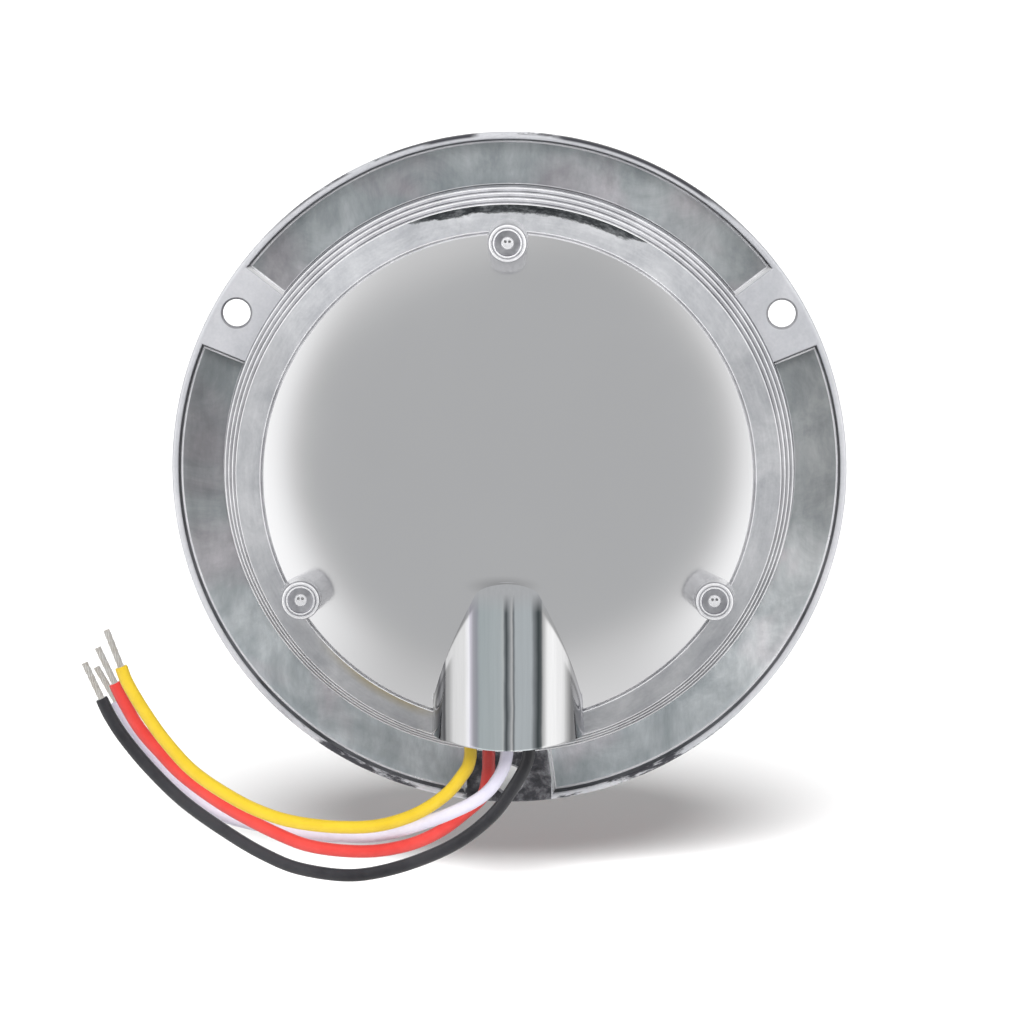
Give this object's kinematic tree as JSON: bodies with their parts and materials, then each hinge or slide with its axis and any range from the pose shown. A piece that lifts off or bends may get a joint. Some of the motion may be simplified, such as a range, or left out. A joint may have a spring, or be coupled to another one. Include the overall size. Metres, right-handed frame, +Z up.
{
  "type": "trailer tail light",
  "caption": "Round flange-mount LED tail light with a cast housing, a rear wire tunnel, a red ring lens around a clear centre lens, and loose hook-up wires.",
  "frame": {"origin": "centre of the housing's flat back, on the lamp's axis", "axes": "+Y along the lamp's axis and out of its back, +Z up, the lenses face -Y"},
  "size_m": [0.1583, 0.0438, 0.1556],
  "materials": {
    "housing_metal": "die cast, polished dome and tunnel, satin band and pockets",
    "lens_red": "clear red, glossy",
    "lens_clear": "clear, glossy",
    "seal_rubber": "matte",
    "reflector_chrome": "metallised",
    "board_green": "solder mask",
    "led_red": "clear epoxy",
    "led_white": "phosphor under clear epoxy",
    "regulator_black": "moulded",
    "capacitor_can": "sleeved",
    "resistor_tan": "lacquered",
    "diode_black": "moulded",
    "screw_steel": "plated",
    "tinned_copper": "tinned strands",
    "pvc_yellow": "satin",
    "pvc_white": "satin",
    "pvc_red": "satin",
    "pvc_black": "satin"
  },
  "bodies": {
    "root": {"housing": "housing_metal", "lens_outer": "lens_red", "lens_center": "lens_clear", "lens_gasket": "seal_rubber", "reflector": "reflector_chrome", "circuit_board": "board_green", "led_red_01": "led_red", "led_red_02": "led_red", "led_red_03": "led_red", "led_red_04": "led_red", "led_red_05": "led_red", "led_red_06": "led_red", "led_red_07": "led_red", "led_red_08": "led_red", "led_red_09": "led_red", "led_red_10": "led_red", "led_red_11": "led_red", "led_red_12": "led_red", "led_white_01": "led_white", "led_white_02": "led_white", "led_white_03": "led_white", "led_white_04": "led_white", "regulator": "regulator_black", "capacitor": "capacitor_can", "resistor_1": "resistor_tan", "resistor_2": "resistor_tan", "resistor_3": "resistor_tan", "resistor_4": "resistor_tan", "diode_1": "diode_black", "diode_2": "diode_black", "screw_top": "screw_steel", "washer_top": "seal_rubber", "screw_left": "screw_steel", "washer_left": "seal_rubber", "screw_right": "screw_steel", "washer_right": "seal_rubber", "wire_grommet": "seal_rubber", "wire_yellow": "pvc_yellow", "tip_yellow": "tinned_copper", "wire_white": "pvc_white", "tip_white": "tinned_copper", "wire_red": "pvc_red", "tip_red": "tinned_copper", "wire_black": "pvc_black", "tip_black": "tinned_copper"}
  },
  "joints": []
}
